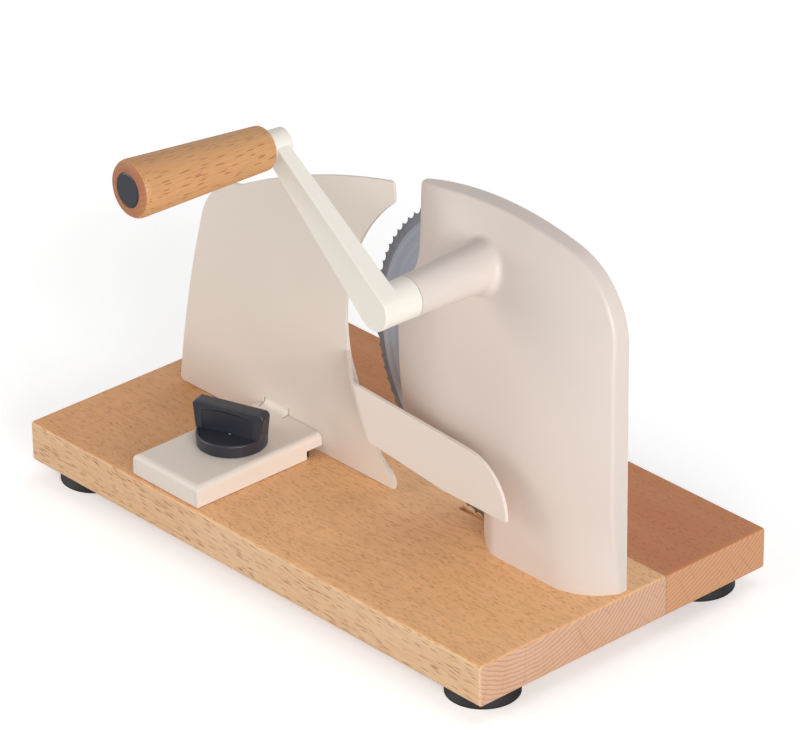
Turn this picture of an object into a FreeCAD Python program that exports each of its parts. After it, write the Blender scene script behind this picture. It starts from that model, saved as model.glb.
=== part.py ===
import FreeCAD, Part

import math
import os
import re

import Sketcher
from FreeCAD import Matrix, Placement, Rotation, Vector

# A hand cranked bread slicer.
# X runs to the right along the long front edge of the board, Y to the back and Z up.
# The origin is the middle of the board's footprint, on the plane that the feet stand on.
# Y = 0 is just in front of the cutting blade. Sizes are in millimetres.

doc = FreeCAD.newDocument("BreadSlicer")
sheet = doc.addObject("Spreadsheet::Sheet", "Sizes")

SIZES = [
    ("board_length", 360, "base board, along X"),
    ("board_width", 206, "base board, along Y"),
    ("board_thick", 24, "base board"),
    ("board_round", 1.8, "rounding of the board's edges"),
    ("foot_height", 10, "rubber foot"),
    ("foot_radius", 20, "rubber foot, sealing rim"),
    ("foot_neck_radius", 15.5, "rubber foot, at the board"),
    ("foot_inset", 25, "foot centre from the board's edges"),
    ("foot_screw_radius", 2, "foot screw, shank"),
    ("foot_screw_depth", 14, "foot screw, length in the wood"),
    ("blade_x", 80.7, "blade axis from the board's middle"),
    ("blade_height", 92.5, "blade axis above the board"),
    ("blade_radius", 93, "blade, tooth tips"),
    ("blade_thick", 1.6, "blade"),
    ("blade_front", 1.2, "front face of the blade"),
    ("tooth_count", 90, "teeth of the blade"),
    ("tooth_depth", 1.9, "teeth of the blade"),
    ("bevel_width", 6.5, "ground bevel of the blade"),
    ("groove_depth", 2.5, "groove in the board under the blade"),
    ("groove_gap", 1.2, "groove in the board, clear of the blade"),
    ("housing_depth", 21, "front face of the housing, in front of Y = 0"),
    ("housing_rim", 4, "rear rim of the housing, behind Y = 0"),
    ("housing_wall", 2.6, "wall of the cast housing"),
    ("housing_right", 2.3, "right side of the housing beyond the blade"),
    ("housing_top", 6.9, "top of the housing above the blade"),
    ("housing_left_x", 28, "upper left edge of the housing"),
    ("housing_foot_x", 84, "lower left edge of the housing"),
    ("side_round", 2.2, "rounding between the housing's front and its sides"),
    ("side_width", 65, "width over which the front falls to the right side"),
    ("side_drop", 14, "how far the front falls to the right side"),
    ("foot_width", 31, "the same width at the housing's foot"),
    ("foot_drop", 20, "the same fall at the housing's foot"),
    ("foot_rise", 50, "height over which the foot's fall turns into the side's"),
    ("top_width", 50, "width over which the front falls to the top"),
    ("top_drop", 16, "how far the front falls to the top"),
    ("corner_radius", 45, "upper right corner of the housing"),
    ("crown_radius", 220, "top line of the housing"),
    ("crown_x", 88.7, "highest point of the housing"),
    ("edge_band", 22.5, "width of blade left open beside the housing"),
    ("neck_radius", 30, "hollow between the housing's left edge and its bulge"),
    ("foot_neck", 6, "hollow between the bulge and the housing's foot"),
    ("ramp_end_x", 68, "where the sloping left side meets the flat front"),
    ("lip_front", 2, "front of the housing's thin left edge"),
    ("gear_module", 2, "module of both gears"),
    ("pinion_teeth", 18, "teeth on the crank's pinion"),
    ("pinion_gap", 1.7, "least space from the pinion to the line that the crown keeps from the blade"),
    ("gear_teeth", 54, "teeth on the blade's gear"),
    ("gear_width", 5, "face width of the gears"),
    ("gear_back_gap", 2, "gears to the blade"),
    ("gear_backlash", 0.2, "play between the teeth"),
    ("crank_offset", 10.3, "crank axis beside the blade axis"),
    ("boss_length", 47, "tube that carries the crank shaft"),
    ("boss_radius", 11, "tube, at the crank"),
    ("boss_root_radius", 13, "tube, at the housing"),
    ("boss_flare", 4, "fillet between tube and housing"),
    ("shaft_radius", 5, "crank shaft"),
    ("bush_wall", 2, "bearing bushes"),
    ("bush_length", 16, "bearing bushes of the crank"),
    ("running_gap", 0.05, "radial play in the bearings"),
    ("hub_gap", 0.4, "crank hub to the tube"),
    ("crank_radius", 101, "crank axis to grip axis"),
    ("crank_angle", 139.8, "direction of the crank arm from the right, in degrees"),
    ("hub_length", 13.1, "crank hub between tube and arm"),
    ("arm_thick", 11, "crank arm at the hub"),
    ("arm_tip_thick", 7.6, "crank arm at the grip"),
    ("arm_root_width", 21.4, "crank arm at the hub"),
    ("arm_tip_width", 11.2, "crank arm at the grip"),
    ("grip_boss_radius", 7.7, "round end of the crank arm"),
    ("grip_boss_length", 12, "round end of the crank arm"),
    ("grip_lean", 3.4, "outward lean of the grip from the crank's axis, in degrees"),
    ("grip_length", 86, "wooden grip"),
    ("grip_inner_radius", 11.8, "wooden grip at the arm"),
    ("grip_outer_radius", 15.3, "wooden grip at its free end"),
    ("grip_round", 4, "rounding of the grip's free end"),
    ("grip_pin_radius", 4, "pin that the grip turns on"),
    ("cap_radius", 9.2, "end cap of the grip"),
    ("cap_thick", 3, "end cap of the grip"),
    ("plate_thick", 2, "sheet of the stop plate"),
    ("plate_front", 11.5, "front face of the stop plate, in front of Y = 0"),
    ("plate_gap", 13, "stop plate's curved edge beyond the blade's teeth"),
    ("plate_arc_x", 85, "centre of the stop plate's curved edge"),
    ("plate_arc_z", 89, "centre of the stop plate's curved edge above the board"),
    ("plate_lift", 0.4, "stop plate above the board"),
    ("strip_front", 35, "front face of the slice guide, in front of Y = 0"),
    ("strip_low", 41, "slice guide's lower edge above the board"),
    ("strip_high", 71, "slice guide's upper edge above the board"),
    ("strip_end_x", 126, "tip of the slice guide"),
    ("tray_x", -68, "middle of the sliding tray"),
    ("tray_width", 53, "sliding tray"),
    ("tray_front", 100.5, "front of the sliding tray, in front of Y = 0"),
    ("tray_height", 12.5, "top of the sliding tray above the board"),
    ("tray_bend", 3.5, "outer bend radius of the tray"),
    ("tongue_bend", 4, "inner bend radius between the tray and the plate"),
    ("fold_bend", 6, "inner bend radius of the slice guide"),
    ("slide_back", 11.3, "travel of the stop plate towards the blade"),
    ("slide_front", 6.5, "travel of the stop plate away from the blade"),
    ("rail_side_gap", 0.3, "guide rail to the tray's sides"),
    ("rail_top_gap", 0.1, "guide rail to the tray's top"),
    ("stud_y", -53, "clamping stud"),
    ("stud_radius", 3, "clamping stud"),
    ("slot_play", 0.6, "tray slot to the stud"),
    ("knob_radius", 19.7, "clamping knob"),
    ("knob_rim", 7, "height of the knob's round base"),
    ("knob_height", 22.5, "height of the knob over the tray"),
    ("knob_bore", 6.3, "depth of the hole in the knob"),
    ("wing_low", 5.4, "half thickness of the knob's wing at its base"),
    ("wing_high", 3.9, "half thickness of the knob's wing at its top"),
    ("wing_waist", 2.5, "half thickness of the knob's wing between the finger hollows"),
    ("waist_curve", 70, "radius of the finger hollows"),
    ("knob_turn", 19, "direction of the knob's wing, in degrees"),
]

for row, (alias, number, meaning) in enumerate(SIZES, start=1):
    sheet.set(f"A{row}", alias)
    sheet.set(f"B{row}", str(number))
    sheet.setAlias(f"B{row}", alias)
    sheet.set(f"C{row}", meaning)
doc.recompute()

TO_BACK = Rotation(Vector(1, 0, 0), -90)   # turns a piece built along Z to run along +Y
UPRIGHT = Rotation()

# Places that several pieces share, as expressions over the sheet.
BOARD_TOP = "(foot_height + board_thick)"
BLADE_Z = f"({BOARD_TOP} + blade_height)"
BLADE_BACK = "(blade_front + blade_thick)"
GEAR_BACK = "(blade_front - gear_back_gap)"
GEAR_FRONT = f"({GEAR_BACK} - gear_width)"
AXLE_SPREAD = "(gear_module * (pinion_teeth + gear_teeth) / 2)"
CRANK_X = "(blade_x + crank_offset)"
CRANK_Z = f"({BLADE_Z} + ({AXLE_SPREAD}^2 - crank_offset^2)^0.5)"
BUSH_RADIUS = "(shaft_radius + running_gap + bush_wall)"
POST_END = f"({GEAR_FRONT} - 1.4)"
BOSS_END = "(-housing_depth - boss_length)"
HUB_END = f"({BOSS_END} - hub_gap - hub_length)"
ARM_FRONT = f"({HUB_END} - arm_thick)"
GRIP_X = f"({CRANK_X} + crank_radius * cos(crank_angle))"
GRIP_Z = f"({CRANK_Z} + crank_radius * sin(crank_angle))"
GRIP_BOSS_FRONT = f"({ARM_FRONT} - 0.8)"
GRIP_INNER = f"({GRIP_BOSS_FRONT} - 1.2)"
TRAY_TOP = f"({BOARD_TOP} + tray_height)"
RAIL_TOP = f"({TRAY_TOP} - plate_thick - rail_top_gap)"


def expression(text):
    """Gives every alias in the text its sheet, as an expression needs it."""
    return re.sub(r"\b[a-z]+(?:_[a-z0-9]+)+\b", lambda found: "Sizes." + found.group(0), text)


derived = doc.addObject("App::VarSet", "Derived")
derived_names = {}


def value(text):
    """The number that an expression over the sheet has now, kept in the set of derived sizes."""
    if text not in derived_names:
        name = f"derived_{len(derived_names) + 1}"
        derived.addProperty("App::PropertyFloat", name, "Derived", text)
        derived.setExpression(name, expression(text))
        derived.recompute()
        derived_names[text] = name
    return float(getattr(derived, derived_names[text]))


def place(obj, x="0", y="0", z="0", turn=UPRIGHT):
    obj.Placement = Placement(Vector(), turn)
    obj.setExpression(".Placement.Base.x", expression(x))
    obj.setExpression(".Placement.Base.y", expression(y))
    obj.setExpression(".Placement.Base.z", expression(z))
    return obj


def box(name, length, width, height, x, y, z):
    obj = doc.addObject("Part::Box", name)
    obj.setExpression("Length", expression(length))
    obj.setExpression("Width", expression(width))
    obj.setExpression("Height", expression(height))
    return place(obj, x, y, z)


def cylinder(name, radius, height, x, y, z, turn=UPRIGHT):
    obj = doc.addObject("Part::Cylinder", name)
    obj.setExpression("Radius", expression(radius))
    obj.setExpression("Height", expression(height))
    return place(obj, x, y, z, turn)


def cut(name, base, *tools):
    """Takes the tools away from the base, as one boolean."""
    tool = tools[0]
    if len(tools) > 1:
        tool = doc.addObject("Part::MultiFuse", name + "_tools")
        tool.Shapes = list(tools)
    obj = doc.addObject("Part::Cut", name)
    obj.Base = base
    obj.Tool = tool
    return obj


def turned(name, profile, x="0", y="0", z="0", turn=UPRIGHT):
    """A turned piece: a body whose profile, as (radius, height) pairs, goes round its own Z."""
    body = doc.addObject("PartDesign::Body", name)
    sketch = body.newObject("Sketcher::SketchObject", name + "_profile")
    plane = next(item for item in body.Origin.OriginFeatures if item.Role == "XZ_Plane")
    sketch.AttachmentSupport = [(plane, "")]
    sketch.MapMode = "FlatFace"
    points = [Vector(value(radius), value(height), 0) for radius, height in profile]
    count = len(points)
    for index, point in enumerate(points):
        sketch.addGeometry(Part.LineSegment(point, points[(index + 1) % count]), False)
    for index in range(count):
        following = (index + 1) % count
        sketch.addConstraint(Sketcher.Constraint("Coincident", index, 2, following, 1))
    for index, (radius, height) in enumerate(profile):
        for kind, text, name_start in (("DistanceX", radius, "radius"), ("DistanceY", height, "height")):
            here = points[index].x if kind == "DistanceX" else points[index].y
            item = sketch.addConstraint(Sketcher.Constraint(kind, -1, 1, index, 1, here))
            label = f"{name_start}_{index}"
            sketch.renameConstraint(item, label)
            sketch.setExpression("Constraints." + label, expression(text))
    spin = body.newObject("PartDesign::Revolution", name + "_turn")
    spin.Profile = sketch
    spin.ReferenceAxis = (sketch, ["V_Axis"])
    spin.Angle = 360
    body.Tip = spin
    return place(body, x, y, z, turn)


def feature(name, shape, placement=None):
    obj = doc.addObject("Part::Feature", name)
    obj.Shape = shape
    if placement is not None:
        obj.Placement = placement
    return obj


def ring(outer, inner, low, high):
    return [(inner, low), (outer, low), (outer, high), (inner, high)]


def line(start, end):
    return Part.makeLine(start, end)


def arc(start, middle, end):
    return Part.Arc(start, middle, end).toShape()


def round_arc(centre, radius, first, last):
    """An arc in the XZ plane about centre, between two angles in degrees."""
    first, last = math.radians(first), math.radians(last)
    points = [
        centre + Vector(radius * math.cos(angle), 0, radius * math.sin(angle))
        for angle in (first, (first + last) / 2, last)
    ]
    return arc(*points), points[0], points[2]


def slab(wire, front, back):
    """Fills a wire of the XZ plane and gives it a depth from front to back."""
    face = Part.Face(wire)
    face.translate(Vector(0, front, 0))
    return face.extrude(Vector(0, back - front, 0))


def edges_where(shape, test):
    return [edge for edge in shape.Edges if test(edge)]


def middle_of(edge):
    return edge.valueAt((edge.FirstParameter + edge.LastParameter) / 2)


def rod_along_y(radius, front, back, x, z):
    return Part.makeCylinder(radius, back - front, Vector(x, front, z), Vector(0, 1, 0))


# Base board and feet

FOOT_X = "(board_length / 2 - foot_inset)"
FOOT_Y = "(board_width / 2 - foot_inset)"
FOOT_PLACES = [
    ("suction_foot_front_left", "-", "-"),
    ("suction_foot_front_right", "", "-"),
    ("suction_foot_rear_left", "-", ""),
    ("suction_foot_rear_right", "", ""),
]
HOUSING_SCREW_RADIUS = "2"
HOUSING_SCREW_PLACES = [
    ("housing_foot_x + 14", "-10.8"),
    ("(housing_foot_x + 14 + blade_x + blade_radius - 13) / 2", "-10.8"),
    ("blade_x + blade_radius - 13", "-5.6"),
]
SCREW_SINK = "8"
POST_HEIGHT = "14"


def base_board():
    body = doc.addObject("PartDesign::Body", "board_blank")
    sketch = body.newObject("Sketcher::SketchObject", "board_outline")
    plane = next(item for item in body.Origin.OriginFeatures if item.Role == "XY_Plane")
    sketch.AttachmentSupport = [(plane, "")]
    sketch.MapMode = "FlatFace"
    half_length, half_width = value("board_length / 2"), value("board_width / 2")
    corners = [
        Vector(-half_length, -half_width, 0),
        Vector(half_length, -half_width, 0),
        Vector(half_length, half_width, 0),
        Vector(-half_length, half_width, 0),
    ]
    for index in range(4):
        sketch.addGeometry(Part.LineSegment(corners[index], corners[(index + 1) % 4]), False)
    for index in range(4):
        sketch.addConstraint(Sketcher.Constraint("Coincident", index, 2, (index + 1) % 4, 1))
    for index in (0, 2):
        sketch.addConstraint(Sketcher.Constraint("Horizontal", index))
    for index in (1, 3):
        sketch.addConstraint(Sketcher.Constraint("Vertical", index))
    sketch.addConstraint(Sketcher.Constraint("Symmetric", 0, 1, 2, 1, -1, 1))
    length = sketch.addConstraint(Sketcher.Constraint("DistanceX", 0, 1, 0, 2, 2 * half_length))
    sketch.renameConstraint(length, "length")
    sketch.setExpression("Constraints.length", expression("board_length"))
    width = sketch.addConstraint(Sketcher.Constraint("DistanceY", 1, 1, 1, 2, 2 * half_width))
    sketch.renameConstraint(width, "width")
    sketch.setExpression("Constraints.width", expression("board_width"))
    pad = body.newObject("PartDesign::Pad", "board_pad")
    pad.Profile = sketch
    pad.setExpression("Length", expression("board_thick"))
    doc.recompute()
    rounding = body.newObject("PartDesign::Fillet", "board_edges")
    rounding.Base = (pad, ["Edge1"])
    rounding.UseAllEdges = True
    rounding.setExpression("Radius", expression("board_round"))
    body.Tip = rounding
    place(body, z="foot_height")

    tools = []
    for name, side_x, side_y in FOOT_PLACES:
        tools.append(cylinder(
            name + "_pilot", "foot_screw_radius", "foot_screw_depth",
            side_x + FOOT_X, side_y + FOOT_Y, "foot_height"))
    for index, (x, y) in enumerate(HOUSING_SCREW_PLACES):
        tools.append(cylinder(
            f"housing_screw_hole_{index}", HOUSING_SCREW_RADIUS + " + 0.4", "board_thick", x, y, "foot_height"))
        tools.append(cylinder(
            f"housing_screw_sink_{index}", "5.4", SCREW_SINK, x, y, "foot_height"))
    for index, (x, y) in enumerate(RAIL_SCREW_PLACES):
        tools.append(cylinder(
            f"rail_screw_pilot_{index}", RAIL_SCREW_RADIUS, RAIL_SCREW_DEPTH,
            x, y, BOARD_TOP + " - " + RAIL_SCREW_DEPTH))
    groove_half = f"((2 * blade_radius * groove_depth)^0.5 + 6)"
    tools.append(box(
        "blade_groove", f"2 * {groove_half}", "blade_thick + 2 * groove_gap", "groove_depth + 1",
        f"blade_x - {groove_half}", "blade_front - groove_gap", BOARD_TOP + " - groove_depth"))
    return cut("base_board", body, *tools)


RAIL_SCREW_RADIUS = "1.9"
RAIL_SCREW_DEPTH = "14"
RAIL_FRONT = "(-(tray_front - plate_thick) + slide_back + 1)"
RAIL_BACK = "(-plate_front - slide_front - 1.5)"
RAIL_WIDTH = "(tray_width - 2 * plate_thick - 2 * rail_side_gap)"
RAIL_SCREW_PLACES = [
    (f"tray_x - {RAIL_WIDTH} / 2 + 9", f"{RAIL_FRONT} + 9"),
    (f"tray_x + {RAIL_WIDTH} / 2 - 9", f"{RAIL_FRONT} + 9"),
    (f"tray_x - {RAIL_WIDTH} / 2 + 9", f"{RAIL_BACK} - 9"),
    (f"tray_x + {RAIL_WIDTH} / 2 - 9", f"{RAIL_BACK} - 9"),
]


def feet():
    profile = [
        ("foot_screw_radius + 0.2", "foot_height"),
        ("foot_neck_radius", "foot_height"),
        ("foot_neck_radius", "foot_height - 2.5"),
        ("foot_radius - 1.2", "2.4"),
        ("foot_radius", "1"),
        ("foot_radius", "0"),
        ("foot_radius - 2.6", "0"),
        ("6.4", "3.2"),
        ("6.4", "foot_height - 4"),
        ("foot_screw_radius + 0.2", "foot_height - 4"),
    ]
    return [
        turned(name, profile, side_x + FOOT_X, side_y + FOOT_Y)
        for name, side_x, side_y in FOOT_PLACES
    ]


def pan_screw(name, shank, head, head_height, length, socket):
    """A pan head screw along +Z from the underside of its head at 0, with a hexagon socket."""
    blank = turned(name + "_blank", [
        ("0", f"-({head_height})"),
        (f"{head} - 0.8", f"-({head_height})"),
        (head, f"0.8 - ({head_height})"),
        (head, "0"),
        (shank, "0"),
        (shank, f"({length}) - 1"),
        (f"{shank} - 0.8", length),
        ("0", length),
    ])
    hexagon = doc.addObject("Part::Prism", name + "_socket")
    hexagon.Polygon = 6
    hexagon.setExpression("Circumradius", expression(socket))
    hexagon.setExpression("Height", expression(f"{head_height} * 0.6 + 1"))
    place(hexagon, z=f"-({head_height}) - 1")
    return cut(name + "_master", blank, hexagon)


def countersunk_screw(name, shank, head, head_height, length, socket):
    """A countersunk screw along -Z, with the top of its head at 0 and a hexagon socket."""
    blank = turned(name + "_blank", [
        ("0", "0"),
        (head, "0"),
        (head, "-0.3"),
        (shank, f"-({head_height})"),
        (shank, f"1 - ({length})"),
        (f"{shank} - 0.7", f"-({length})"),
        ("0", f"-({length})"),
    ])
    hexagon = doc.addObject("Part::Prism", name + "_socket")
    hexagon.Polygon = 6
    hexagon.setExpression("Circumradius", expression(socket))
    hexagon.setExpression("Height", expression(f"{head_height} * 0.7 + 1"))
    place(hexagon, z=f"-({head_height}) * 0.7")
    return cut(name + "_master", blank, hexagon)


def group(name, master, placements):
    """Several separate copies of one small piece, as one node."""
    copies = []
    for placement in placements:
        copy = master.Shape.copy()
        copy.Placement = placement.multiply(copy.Placement)
        copies.append(copy)
    return feature(name, Part.makeCompound(copies))


# Cast housing

def crown_middle():
    """The centre of the housing's top line, which clears both the blade and the pinion."""
    pinion_top = value(f"{CRANK_Z} - {BLADE_Z} + gear_module * (pinion_teeth / 2 + 1) + pinion_gap")
    rise = max(value("blade_radius"), pinion_top) + value("housing_top")
    return Vector(value("crown_x"), 0, value(BLADE_Z) + rise - value("crown_radius"))


def housing_outline(inset):
    """The housing's outline seen from the front, drawn inwards by inset, closed below the board's top."""
    base = value(BOARD_TOP)
    blade = Vector(value("blade_x"), 0, value(BLADE_Z))
    bottom = base - (2 if inset else 0)
    right = value("blade_x + blade_radius + housing_right") - inset
    corner = value("corner_radius")
    crown = value("crown_radius")
    crown_centre = crown_middle()
    corner_x = right + inset - corner
    corner_rise = math.sqrt((crown - corner) ** 2 - (corner_x - crown_centre.x) ** 2)
    corner_centre = Vector(corner_x, 0, crown_centre.z + corner_rise)
    crown_start = math.degrees(math.atan2(corner_rise, corner_x - crown_centre.x))
    left = value("housing_left_x") + inset
    crown_end = math.degrees(math.acos((left - crown_centre.x) / (crown - inset)))

    bulge = value("blade_radius - edge_band")
    neck = value("neck_radius")
    neck_x = left - inset - neck
    neck_rise = math.sqrt((bulge + neck) ** 2 - (blade.x - neck_x) ** 2)
    neck_centre = Vector(neck_x, 0, blade.z + neck_rise)
    neck_angle = math.degrees(math.atan2(-neck_rise, blade.x - neck_x))
    foot_neck = value("foot_neck")
    foot_x = value("housing_foot_x") + inset
    low_x = foot_x - inset - foot_neck
    low_rise = math.sqrt((bulge + foot_neck) ** 2 - (blade.x - low_x) ** 2)
    low_centre = Vector(low_x, 0, blade.z - low_rise)
    low_angle = math.degrees(math.atan2(low_rise, blade.x - low_x))

    corner_edge, corner_low, corner_high = round_arc(corner_centre, corner - inset, 0, crown_start)
    crown_edge, _, crown_left = round_arc(crown_centre, crown - inset, crown_start, crown_end)
    neck_edge, neck_high, neck_low = round_arc(neck_centre, neck + inset, 0, neck_angle)
    bulge_edge, _, _ = round_arc(blade, bulge - inset, 180 + neck_angle, 180 + low_angle)
    low_edge, _, low_end = round_arc(low_centre, foot_neck + inset, low_angle, 0)
    right_foot, left_foot = Vector(right, 0, bottom), Vector(foot_x, 0, bottom)
    return Part.Wire([
        line(right_foot, corner_low), corner_edge, crown_edge,
        line(crown_left, neck_high), neck_edge, bulge_edge, low_edge,
        line(low_end, left_foot), line(left_foot, right_foot),
    ])


def smooth(share):
    share = min(max(share, 0), 1)
    return share * share * (3 - 2 * share)


def fall(inward, width, drop):
    """How far the front has fallen at a distance inward from its edge, along a circle's arc."""
    radius = (width * width + drop * drop) / (2 * drop)
    reach = max(width - inward, 0)
    limit = min(reach, 0.93 * radius)
    depth = math.sqrt(radius * radius - limit * limit)
    return radius - depth + (reach - limit) * limit / depth


def housing_front(x, z):
    """The depth (Y) of the housing's pillow-shaped front.

    The left side slopes back to a thin edge beside the blade, and below the bulge it turns
    round the housing's foot. The front also falls back to the top and to the right side."""
    base, blade_z = value(BOARD_TOP), value(BLADE_Z)
    depth = value("housing_depth")
    drop = depth - value("lip_front")
    end = value("ramp_end_x")
    bulge_left = value("blade_x - blade_radius + edge_band")
    left = bulge_left + (value("housing_left_x") - bulge_left) * smooth((z - blade_z) / 58)
    slope = fall(x - left, end - left, drop) / drop
    turn = smooth((value("housing_foot_x") + 20 - x) / 36) * smooth((base + 44 - z) / 28)
    left_share = (1 - (1 - slope) * (1 - turn)) * drop / depth

    inward = value("blade_x + blade_radius + housing_right") - x
    side = fall(inward, value("side_width"), value("side_drop"))
    foot = fall(inward, value("foot_width"), value("foot_drop"))
    right_share = (foot + (side - foot) * smooth((z - base) / value("foot_rise"))) / depth

    crown = crown_middle()
    inward = value("crown_radius") - math.hypot(x - crown.x, z - crown.z)
    top_share = fall(inward, value("top_width"), value("top_drop")) / depth
    return -depth * (1 - left_share) * (1 - right_share) * (1 - top_share)


def front_tool(wall):
    """All that lies in front of the housing's front, or of its inside where a wall is given."""
    base = value(BOARD_TOP)
    first, last = value("blade_x - blade_radius + edge_band") - 8, value("blade_x + blade_radius + housing_right") + 8
    low, high = base - 8, crown_middle().z + value("crown_radius") + 8
    columns = [first + (last - first) * step / 42 for step in range(43)]
    rows = [low + (high - low) * step / 36 for step in range(37)]

    def inside(x, z):
        across = (housing_front(x + 1, z) - housing_front(x - 1, z)) / 2
        up = (housing_front(x, z + 1) - housing_front(x, z - 1)) / 2
        return housing_front(x, z) + wall * min(math.sqrt(1 + across * across + up * up), 1.8)

    surface = Part.BSplineSurface()
    surface.interpolate([[Vector(x, inside(x, z), z) for z in rows] for x in columns])
    return surface.toShape().extrude(Vector(0, -90, 0))


def housing_block(inset):
    """The housing's outline as a solid block behind its front, or the space inside it."""
    block = slab(housing_outline(inset), -value("housing_depth") - 4, value("housing_rim") + 10)
    return block.cut(front_tool(inset))


def gear_housing():
    wall = value("housing_wall")
    rim = value("housing_rim")
    front = -value("housing_depth")
    base = value(BOARD_TOP)
    blade_x, blade_z = value("blade_x"), value(BLADE_Z)
    crank_x, crank_z = value(CRANK_X), value(CRANK_Z)
    left = value("housing_left_x")

    def side_edge(edge):
        point = middle_of(edge)
        beyond = math.hypot(point.x - blade_x, point.z - blade_z) > value("blade_radius") + 1
        return beyond and point.y < 1 and point.x > left + 1 and point.z > base + 1

    block = housing_block(0)
    block = block.makeFillet(value("side_round"), edges_where(block, side_edge))

    tip, root = value("boss_radius"), value("boss_root_radius")
    length, sunk = value("boss_length"), 12
    boss = Part.makeCone(
        root + (root - tip) * sunk / length, tip, length + sunk,
        Vector(crank_x, front + sunk, crank_z), Vector(0, -1, 0))
    outer = block.fuse(boss)

    def boss_foot(edge):
        point = middle_of(edge)
        beside = math.hypot(point.x - crank_x, point.z - crank_z)
        return abs(beside - root) < 1 and abs(point.y - housing_front(point.x, point.z)) < 1

    outer = outer.makeFillet(value("boss_flare"), edges_where(outer, boss_foot))
    inner = housing_block(wall)
    recess_front = value("blade_front") - 0.6
    recess = rod_along_y(value("blade_radius") + 1, recess_front, rim + 50, blade_x, blade_z)
    shell = outer.cut(inner).cut(recess)

    post_end = value(POST_END)
    axle_post = rod_along_y(10, front + wall / 2, post_end, blade_x, blade_z)
    crank_post = rod_along_y(value(BUSH_RADIUS) + 3.5, front + wall / 2, post_end, crank_x, crank_z)
    lugs = []
    for x, y in HOUSING_SCREW_PLACES:
        lug_back = value(y) + 6
        lugs.append(Part.makeBox(13, 40, value(POST_HEIGHT), Vector(value(x) - 6.5, lug_back - 40, base)))
    lugs = Part.makeCompound(lugs).common(block)
    behind = slab(housing_outline(0), rim, rim + 60)
    shell = shell.fuse([axle_post, crank_post] + lugs.Solids).cut(behind)
    bore = rod_along_y(value(BUSH_RADIUS), value(BOSS_END) - 5, post_end + 5, crank_x, crank_z)
    axle_hole = rod_along_y(value("shaft_radius"), front + wall, post_end + 5, blade_x, blade_z)
    shell = shell.cut([bore, axle_hole])
    pilots = [
        Part.makeCylinder(value(HOUSING_SCREW_RADIUS), value(POST_HEIGHT) - 2, Vector(value(x), value(y), base))
        for x, y in HOUSING_SCREW_PLACES
    ]
    shell = shell.cut(pilots)
    return feature("gear_housing", shell.removeSplitter())


# Gears, drawn as true involutes

def involute_gear(teeth, bore, phase):
    """A spur gear blank about the Z axis from z = 0, its first tooth at the angle phase (degrees)."""
    module, width = value("gear_module"), value("gear_width")
    pressure = math.radians(20)
    pitch = module * teeth / 2
    base = pitch * math.cos(pressure)
    tip = pitch + module
    root = pitch - 1.25 * module
    half_tooth = math.pi / (2 * teeth) - value("gear_backlash") / (4 * pitch)
    spread = math.tan(pressure) - pressure

    def flank(radius):
        lean = math.acos(base / radius)
        return half_tooth + spread - (math.tan(lean) - lean)

    def at(radius, angle):
        return Vector(radius * math.cos(angle), radius * math.sin(angle), 0)

    start = max(base * 1.0005, root + 0.2)
    radii = [start + (tip - start) * share / 5 for share in range(6)]
    edges = []
    for tooth in range(teeth):
        middle = math.radians(phase) + 2 * math.pi * tooth / teeth
        rising = [at(radius, middle - flank(radius)) for radius in radii]
        falling = [at(radius, middle + flank(radius)) for radius in reversed(radii)]
        next_middle = middle + 2 * math.pi / teeth
        low_left = at(root, middle + flank(start))
        low_right = at(root, next_middle - flank(start))
        for points in (rising, falling):
            curve = Part.BSplineCurve()
            curve.interpolate(points)
            edges.append(curve.toShape())
            if points is rising:
                edges.append(arc(rising[-1], at(tip, middle), falling[0]))
        edges.append(line(falling[-1], low_left))
        edges.append(arc(low_left, at(root, middle + math.pi / teeth), low_right))
        edges.append(line(low_right, at(start, next_middle - flank(start))))
    blank = Part.Face(Part.Wire(edges)).extrude(Vector(0, 0, width))
    return blank.cut(Part.makeCylinder(bore, width + 2, Vector(0, 0, -1)))


def on_axis(x, front, z):
    """The placement of a piece that is drawn along Z and runs back from front, parallel to Y."""
    return Placement(Vector(value(x), value(front), value(z)), TO_BACK)


def mesh_direction():
    """The angle from the blade axis to the crank axis, in the gear blanks' own plane."""
    rise = value(CRANK_Z) - value(BLADE_Z)
    return math.degrees(math.atan2(-rise, value("crank_offset")))


GEAR_HUB_RADIUS = "12"
BLADE_BORE = "9"
BLADE_SEAT = "21"
BLADE_SCREW_CIRCLE = "15"
BLADE_SCREW_RADIUS = "1.5"


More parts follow.
